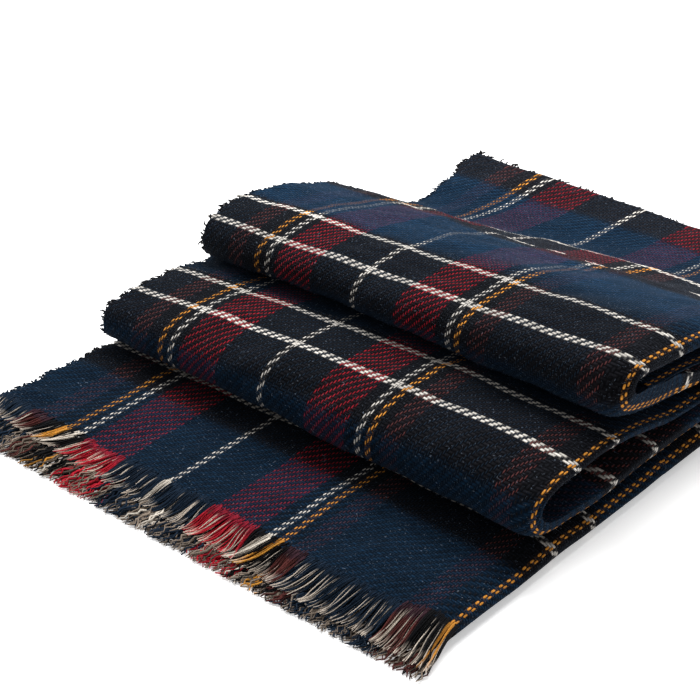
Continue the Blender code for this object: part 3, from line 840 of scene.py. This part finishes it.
def newTree(name, inputs):
    # a Geometry Nodes tree, and its inputs by their names
    tree = bpy.data.node_groups.new(name, "GeometryNodeTree")
    tree.interface.new_socket("Geometry", in_out="OUTPUT", socket_type="NodeSocketGeometry")
    for key, value in {"Geometry": None, **inputs, "Material": None}.items():
        kind = {int: "Int", float: "Float"}.get(type(value), key)
        item = tree.interface.new_socket(key, in_out="INPUT", socket_type="NodeSocket" + kind)
        if value is not None:
            item.default_value = value
    given = tree.nodes.new("NodeGroupInput")
    return tree, {socket.name: Wire(socket) for socket in given.outputs if socket.name}


def strandsOn(points, count):
    # a straight strand on every point: each keeps its number, its root and its places along it
    tree = points.tree
    line = addNode(tree, "GeometryNodeCurvePrimitiveLine", {"End": (0.0, 0.0, 1.0)})
    line = addNode(tree, "GeometryNodeResampleCurve", {0: line, "Count": count})
    line = store(line, "alongStrand", addNode(tree, "GeometryNodeSplineParameter"))
    points = store(points, "strand", addNode(tree, "GeometryNodeInputIndex"), "INT")
    points = store(points, "root", addNode(tree, "GeometryNodeInputPosition"), "FLOAT_VECTOR")
    spread = addNode(tree, "GeometryNodeInstanceOnPoints", {"Points": points, "Instance": line})
    return addNode(tree, "GeometryNodeRealizeInstances", {0: spread})


def tubes(strands, sides, radius, caps):
    circle = addNode(strands.tree, "GeometryNodeCurvePrimitiveCircle",
                     {"Resolution": sides, "Radius": 1.0})
    return addNode(strands.tree, "GeometryNodeCurveToMesh",
                   {0: strands, 1: circle, "Scale": radius, "Fill Caps": caps})


def finishTree(solid, material):
    solid = addNode(solid.tree, "GeometryNodeRealizeInstances", {0: solid})
    final = addNode(solid.tree, "GeometryNodeSetMaterial", {0: solid, "Material": material})
    feedNode(solid.tree.nodes.new("NodeGroupOutput"), {0: final})


def looseYarnTree():
    # Yarns from the points of a line. Each point says which way is outwards, how long its yarn is
    # and how far it drops. The yarns wander, lean together in locks and taper to their tips.
    tree, given = newTree("looseYarn", {
        "Thickness": 0.001, "Lock Width": 0.009, "Gather": 0.6, "Lean": 0.35, "Stray": 0.2,
        "Wave": 0.0012, "Pile": 0.0015, "Curl": 6.0, "Uneven Length": 0.25,
        "Sides": 5, "Points": 12, "Seed": 0,
    })

    def chance(number, low, high):
        return addNode(tree, "FunctionNodeRandomValue", {
            2: low, 3: high, "ID": named(tree, "strand", "INT"), "Seed": given["Seed"] + number,
        }, output=1, data_type="FLOAT")

    anyTurn = 6.3    # radians
    yarn = strandsOn(given["Geometry"], given["Points"])
    root, outward, sideways = (named(tree, key, "FLOAT_VECTOR")
                               for key in ("root", "outward", "sideways"))
    t = named(tree, "alongStrand")
    tSquared = calc("POWER", t, 1.4)
    reach = named(tree, "reach") * (1 - chance(1, 0.0, 1.0) * given["Uneven Length"])
    # sideways: the lean of the lock and of the yarn, the gathering into locks, and the curl
    lock = named(tree, "station") / given["Lock Width"]
    slow = addNode(tree, "ShaderNodeTexNoise",
                   {"W": lock + given["Seed"], "Scale": 0.45, "Detail": 1.0}, noise_dimensions="1D")
    lean = (slow - 0.5) * (given["Lean"] * 4) + chance(2, -1.0, 1.0) * given["Stray"]
    lean = lean + named(tree, "lean")
    offMiddle = (0.5 - calc("FRACT", lock + slow * 2)) * given["Lock Width"]
    turns = t * (chance(3, 0.6, 1.4) * given["Curl"]) + chance(4, 0.0, anyTurn)
    wave = calc("SINE", turns) * given["Wave"] * t
    side = lean * reach * tSquared + (offMiddle * given["Gather"] * tSquared + wave)
    # up and down: the drop to the ground, and how high the yarn lies in the pile
    drop = named(tree, "drop") * (mapRange(t, 0, 0.9, 0, 1, interpolation_type="SMOOTHSTEP") * -1)
    liftTurns = t * chance(5, 3.0, 7.0) + chance(6, 0.0, anyTurn)
    arch = calc("MULTIPLY_ADD", calc("SINE", t * math.pi), 0.9, t * 0.1)
    lift = calc("MULTIPLY_ADD", calc("SINE", liftTurns), 0.25, 0.75)
    lift = lift * (chance(7, 0.0, 1.0) * given["Pile"] * arch)
    up = addNode(tree, "ShaderNodeCombineXYZ", {2: drop + lift})
    shaped = added(root, scaled(outward, reach * t), scaled(sideways, side), up)
    yarn = addNode(tree, "GeometryNodeSetPosition", {0: yarn, "Position": shaped})
    # the undyed strands are finer
    shade = chance(9, 0.0, 1.0)
    thick = mapRange(t, 0.75, 1, 1, 0.45) * given["Thickness"] * chance(8, 0.35, 0.62)
    thick = thick * mapRange(shade, 0.78, 0.82, 1, 0.6)
    yarn = tubes(store(yarn, "shade", shade), given["Sides"], thick, True)
    threads = {0: named(tree, "across"), 1: named(tree, "along")}
    threads = addNode(tree, "ShaderNodeCombineXYZ", threads)
    yarn = store(store(yarn, "threads", threads, "FLOAT2", "CORNER"), "tip", t)
    finishTree(addNode(tree, "GeometryNodeSetShadeSmooth", {0: yarn}), given["Material"])
    return tree


def pointsMesh(name, places, attributes):
    mesh = bpy.data.meshes.new(name)
    mesh.from_pydata(places.tolist(), [], [])
    for key, values in attributes.items():
        kind, place = ("FLOAT_VECTOR", "vector") if values.ndim == 2 else ("FLOAT", "value")
        data = mesh.attributes.new(key, kind, "POINT").data
        data.foreach_set(place, values.astype(np.float32).ravel())
    return addObject(name, mesh)


spareLayers = ("root", "outward", "sideways", "alongStrand", "reach", "drop", "lean", "station",
               "strand", "across", "along", "stand", "shown")


def applyTree(piece, tree, settings):
    # sets the tree's inputs, runs it and keeps the result as a plain mesh
    modifier = piece.modifiers.new("nodes", "NODES")
    modifier.node_group = tree
    for item in tree.interface.items_tree:
        if item.item_type == "SOCKET" and item.in_out == "INPUT" and item.name in settings:
            modifier[item.identifier] = settings[item.name]
    bpy.context.view_layer.update()
    evaluated = piece.evaluated_get(bpy.context.evaluated_depsgraph_get())
    mesh = bpy.data.meshes.new_from_object(evaluated)
    piece.modifiers.clear()
    piece.data = mesh
    for layer in spareLayers:
        if layer in mesh.attributes:
            mesh.attributes.remove(mesh.attributes[layer])
    print(piece.name, len(mesh.polygons), "faces")


looseYarn = {
    "fibreScale": 1300.0, "fibreShade": (0.6, 1.25), "palest": 1.2,
    "coveredTo": (0.12, 0.34),    # share of the yarn, where the blue weft stops covering the warp
    "plainTips": 0.45,            # share of the yarns whose tips keep their colour
    "roughness": 0.9, "specular": 0.04, "sheen": 0.05, "bumpStrength": 0.5, "bumpHigh": 0.3 * mm,
}


def yarnMaterial(name, settings, colourByWeft=False):
    # the yarn's own colour by its place in the cloth, with undyed strands among them
    material, shader = newMaterial(name)
    tree = material.node_tree
    across, along = clothPlaces(tree)
    tip, shade = (addNode(tree, "ShaderNodeAttribute", output="Fac", attribute_name=key)
                  for key in ("tip", "shade"))
    if colourByWeft:
        colour = weftRamp(along % weave["weftRepeat"], yarns)
    else:
        # close to the cloth the blue weft still covers some of the warp
        warpPlace = mirrored(across)
        clear = mapRange(tip, *looseYarn["coveredTo"], 0, 1)
        clear = calc("MAXIMUM", warpRamp(warpPlace, warpStrength), clear)
        colour = mixColours(clear, yarns["blue"], warpRamp(warpPlace, looseYarns))
    undyed = calc("GREATER_THAN", shade, settings["ownColourShare"])
    undyed = undyed * mapRange(tip, *settings["undyedFrom"], 0, 1)
    hasPaleTip = calc("GREATER_THAN", calc("FRACT", shade * 7), looseYarn["plainTips"])
    paleTip = mapRange(tip, settings["tipStart"], 1, 0, settings["tipPale"]) * hasPaleTip
    colour = mixColours(calc("MAXIMUM", undyed, paleTip), colour, settings["undyed"])
    place = addNode(tree, "ShaderNodeTexCoord", output="Object")
    fibres = noise(place, looseYarn["fibreScale"], 2, 0.6)
    dim = mapRange(fibres, *weave["noiseMiddle"], *looseYarn["fibreShade"])
    dim = dim * mapRange(calc("FRACT", shade * 17), 0, 1, settings["dimmest"], looseYarn["palest"])
    bump = addNode(tree, "ShaderNodeBump", {
        "Height": fibres, "Strength": looseYarn["bumpStrength"], "Distance": looseYarn["bumpHigh"],
    })
    feedNode(shader, {
        "Base Color": scaled(colour, dim), "Roughness": looseYarn["roughness"],
        "Specular IOR Level": looseYarn["specular"], "Sheen Weight": looseYarn["sheen"],
        "Normal": bump,
    })
    return material


yarnTree = looseYarnTree()

# reach and lean are given at places across the cloth, from the selvage to the long fold
upperFringe = {
    "node": "fringe_upper", "underPly": False, "yarns": 760, "Seed": 3,
    "reach": ((-172, 14), (-130, 17), (-60, 22), (0, 26), (90, 31), (175, 33)),
    "lean": ((-172, 0.0), (-160, -0.35), (-142, -0.9), (-115, -1.0), (-70, -0.6), (0, -0.4),
             (60, -0.5), (120, -0.4), (150, -0.1), (175, 0.1)),
    "rootDepth": -0.12,    # share of the wall, from the outer skin
    "restHigh": 4.8,       # mm over the ground, where the tips lie
    "ownColourShare": 0.77, "undyed": linear(214, 200, 184), "undyedFrom": (0.12, 0.35),
    "tipStart": 0.66, "tipPale": 0.9, "dimmest": 0.5, "rootRaggedness": 4.5,
    "Thickness": 0.95 * mm, "Lock Width": 8.0 * mm, "Gather": 0.4, "Lean": 0.28, "Stray": 0.07,
    "Wave": 0.8 * mm, "Pile": 1.4 * mm, "Curl": 7.0, "Uneven Length": 0.12,
}
lowerFringe = {
    "node": "fringe_lower", "underPly": True, "yarns": 1050, "Seed": 8,
    "reach": ((-172, 37), (-100, 38), (0, 39), (175, 38)),
    "lean": ((-172, 0.1), (-155, -0.1), (-120, -0.3), (0, -0.25), (120, -0.2), (175, 0.0)),
    "rootDepth": 0.5, "restHigh": 0.8,
    "ownColourShare": 0.55, "undyed": linear(138, 124, 111), "undyedFrom": (0.0, 0.1),
    "tipStart": 0.8, "tipPale": 0.0, "dimmest": 0.22, "rootRaggedness": 1.0,
    "Thickness": 1.45 * mm, "Lock Width": 6.0 * mm, "Gather": 0.5, "Lean": 0.12, "Stray": 0.28,
    "Wave": 2.0 * mm, "Pile": 5.0 * mm, "Curl": 24.0, "Uneven Length": 0.16,
}

# how the yarns of both leave the cloth, in mm
fringeRoot = {
    "fromCorner": 0.6, "scatter": 0.5, "depthScatter": 0.3, "inset": 0.4,
    "waveHigh": 0.7, "waveLength": 9.0,
}


def lineLengths(line):
    return np.concatenate([[0], np.cumsum(np.linalg.norm(np.diff(line, axis=0), axis=1))])


def placesOn(line, lengths, stations):
    return np.stack([np.interp(stations, lengths, line[:, axis]) for axis in range(3)], axis=1)


def everywhere(vector, count):
    return np.tile(vector, (count, 1))


def scatter(chooser, most, count):
    return chooser.uniform(-most, most, count)


def fringeRoots(skins, settings):
    # the line that the yarns leave from: the end of one ply, at its depth in the wall
    outer, inner, across, along = skins
    columns = across.shape[1]
    half = columns // 2
    picked = slice(half, columns) if settings["underPly"] else slice(0, half + 1)
    line = outer[0] + (inner[0] - outer[0]) * settings["rootDepth"]
    return line[picked] * mm + tableOrigin, across[0][picked] * mm


def addFringe(name, settings):
    line, acrossLine = fringeRoots(bottomSkins, settings)
    lengths = lineLengths(line)
    chooser = np.random.default_rng(settings["Seed"])
    count = settings["yarns"]
    fromCorner = fringeRoot["fromCorner"] * mm
    stations = np.linspace(fromCorner, lengths[-1] - fromCorner, count)
    stations += scatter(chooser, fringeRoot["scatter"], count) * mm
    places = placesOn(line, lengths, stations)
    # the last picks are frayed, so the yarns come loose at uneven places
    ragged = chooser.uniform(0, settings["rootRaggedness"], count)
    ragged += fringeRoot["waveHigh"] * np.sin(stations / (fringeRoot["waveLength"] * mm))
    places[:, 1] += (fringeRoot["inset"] + ragged) * mm
    places[:, 2] += scatter(chooser, fringeRoot["depthScatter"], count) * mm
    tableX = (places[:, 0] - tableOrigin[0]) / mm
    bow = np.interp(tableX, *zip(*endBow))
    piece = pointsMesh(name, places, {
        "outward": everywhere((0.0, -1.0, 0.0), count),
        "sideways": everywhere((1.0, 0.0, 0.0), count),
        "reach": (np.interp(tableX, *zip(*settings["reach"])) - bow + ragged) * mm,
        "lean": np.interp(tableX, *zip(*settings["lean"])),
        "drop": np.maximum(places[:, 2] - settings["restHigh"] * mm, 0),
        "station": stations,
        "across": np.interp(stations, lengths, acrossLine),
        "along": np.zeros(count),
    })
    applyTree(piece, yarnTree, {**settings, "Material": yarnMaterial(name + "Yarn", settings)})
    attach(piece, "root")
    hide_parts(settings["node"])
    return piece


fringeUpper = addFringe("fringeUpper", upperFringe)
fringeLower = addFringe("fringeLower", lowerFringe)
print("fringe made")

# short ends of weft along the open selvages, and loops that stand out of the far fold; in mm
tufts = {
    "Seed": 21, "every": 1.0, "reach": (2.2, 5.2), "lean": (-0.3, 0.5), "drop": 1.2,
    "lowest": 0.9, "inset": 0.6,
    "foldExtra": 0.8,    # how much longer they are at the ends of the folds
    # the loops: how many, how far in, how far up and down, how low, and how far apart they draw
    "farYarns": 420, "farInset": 1.5, "farBand": 2.0, "farLowest": 1.5, "farSpacing": 3.0,
    "farColour": 6.0,    # how far before the end their colour comes from
    "ownColourShare": 0.97, "undyed": linear(120, 130, 145), "undyedFrom": (0.0, 0.1),
    "tipStart": 0.6, "tipPale": 0.2, "dimmest": 0.5,
    "Thickness": 1.2 * mm, "Lock Width": 6.0 * mm, "Gather": 0.3, "Lean": 0.5, "Stray": 0.5,
    "Wave": 0.6 * mm, "Pile": 1.2 * mm, "Curl": 6.0, "Uneven Length": 0.5, "Points": 6,
}
tuftFinish = yarnMaterial("selvageYarn", tufts, colourByWeft=True)


def selvageRoots(skins, side, chooser):
    outer, inner, across, along = skins
    line = ((outer + inner) / 2)[:, side] * mm + tableOrigin
    lengths = lineLengths(line)
    count = int(lengths[-1] / (tufts["every"] * mm))
    stations = np.sort(chooser.uniform(0, lengths[-1], count))
    places = placesOn(line, lengths, stations)
    ahead = np.gradient(places, axis=0)
    ahead /= np.maximum(np.linalg.norm(ahead, axis=1, keepdims=True), 1e-9)
    return (places, ahead, everywhere((-1.0, 0.0, 0.0), count), stations,
            np.interp(stations, lengths, along[:, side]) * mm, np.full(count, across[0, side] * mm))


def farRoots(skins, chooser):
    outer, inner, across, along = skins
    half = across.shape[1] // 2
    count = tufts["farYarns"]
    chosen = np.sort(chooser.uniform(0, half - 1, count))
    numbers = np.arange(half)
    places = placesOn(outer[-1, :half] * mm + tableOrigin, numbers, chosen)
    places[:, 1] -= tufts["farInset"] * mm
    places[:, 2] += scatter(chooser, tufts["farBand"], count) * mm
    places[:, 2] = np.maximum(places[:, 2], tufts["farLowest"] * mm)
    weft = along[-1, 0] - tufts["farColour"]
    return (places, everywhere((1.0, 0.0, 0.0), count), everywhere((-0.2, 1.0, 0.1), count),
            chosen * tufts["farSpacing"] * mm, np.full(count, weft * mm),
            np.interp(chosen, numbers, across[-1, :half]) * mm)


def addTufts(name, skins, extra=0.0, farEdge=False):
    chooser = np.random.default_rng(tufts["Seed"])
    groups = [selvageRoots(skins, side, chooser) for side in (0, -1)]
    if farEdge:
        groups.append(farRoots(skins, chooser))
    columns = [np.concatenate(parts) for parts in zip(*groups)]
    places, ahead, outward, stations, along, across = columns
    places[:, 0] += tufts["inset"] * mm
    count = len(places)
    piece = pointsMesh(name, places, {
        "outward": outward,
        "sideways": ahead,
        "reach": (chooser.uniform(*tufts["reach"], count) + extra) * mm,
        "lean": chooser.uniform(*tufts["lean"], count),
        "drop": np.minimum(chooser.uniform(0, tufts["drop"], count) * mm,
                           np.maximum(places[:, 2] - tufts["lowest"] * mm, 0)),
        "station": stations,
        "across": across,
        "along": along,
    })
    applyTree(piece, yarnTree, {**tufts, "Material": tuftFinish})
    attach(piece, "root")
    return piece


bottomTufts = addTufts("bottomTufts", bottomSkins)
middleTufts = addTufts("middleTufts", middleSkins, extra=tufts["foldExtra"])
topTufts = addTufts("topTufts", topSkins, extra=tufts["foldExtra"])
backTufts = addTufts("backTufts", backSkins, farEdge=True)
print("selvage tufts made")

# single fibres that stand up from the cloth
nap = {
    "perPiece": 5400, "Reach": 1.6 * mm, "Radius": 0.05 * mm, "Seed": 5, "Points": 3, "Sides": 3,
    "colour": linear(96, 108, 124), "roughness": 0.9, "specular": 0.05,
}


def napTree():
    # fibres from random places of the outer skin, bent over to one side
    tree, given = newTree("nap", {
        "Per Square Metre": 1000.0, "Reach": 0.0015, "Radius": 0.00005, "Points": 3, "Sides": 3,
        "Seed": 0,
    })
    spread = addNode(tree, "GeometryNodeDistributePointsOnFaces", {
        0: given["Geometry"], "Selection": calc("GREATER_THAN", named(tree, "shown"), 0.9),
        "Density": given["Per Square Metre"], "Seed": given["Seed"],
    })
    points = store(spread, "stand", spread.beside(1), "FLOAT_VECTOR")
    fibre = strandsOn(points, given["Points"])
    number = named(tree, "strand", "INT")
    ways = {0: (-1.0, -1.0, -0.3), 1: (1.0, 1.0, 0.6), "ID": number}
    way = addNode(tree, "FunctionNodeRandomValue", ways, data_type="FLOAT_VECTOR")
    length = addNode(tree, "FunctionNodeRandomValue", {2: 0.3, 3: 1.0, "ID": number}, output=1,
                     data_type="FLOAT")
    t = named(tree, "alongStrand")
    stretch = length * given["Reach"]
    standing = calc("SINE", t * 2.2) * (stretch * 0.45)
    root, stand = (named(tree, key, "FLOAT_VECTOR") for key in ("root", "stand"))
    shaped = added(root, scaled(stand, standing), scaled(way, calc("POWER", t, 1.3) * stretch))
    fibre = addNode(tree, "GeometryNodeSetPosition", {0: fibre, "Position": shaped})
    finishTree(tubes(fibre, given["Sides"], given["Radius"], False), given["Material"])
    return tree


napFinish, shader = newMaterial("napFibre")
feedNode(shader, {"Base Color": nap["colour"], "Roughness": nap["roughness"],
                  "Specular IOR Level": nap["specular"]})
fibreTree = napTree()


def addNap(name, base):
    piece = addObject(name, base.data.copy())
    area = sum(face.area for face in base.data.polygons) / 2
    settings = {**nap, "Per Square Metre": nap["perPiece"] / area, "Material": napFinish}
    applyTree(piece, fibreTree, settings)
    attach(piece, "root")
    return piece


bottomNap = addNap("bottomNap", bottomLength)
middleNap = addNap("middleNap", middleFold)
topNap = addNap("topNap", topFold)
backNap = addNap("backNap", backLength)
print("nap made")

for piece, node in ((bottomLength, "bottom_length"), (middleFold, "middle_fold"),
                    (topFold, "top_fold"), (backLength, "back_length"),
                    (hiddenLayers, "hidden_layers")):
    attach(piece, "root")
    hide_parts(node)
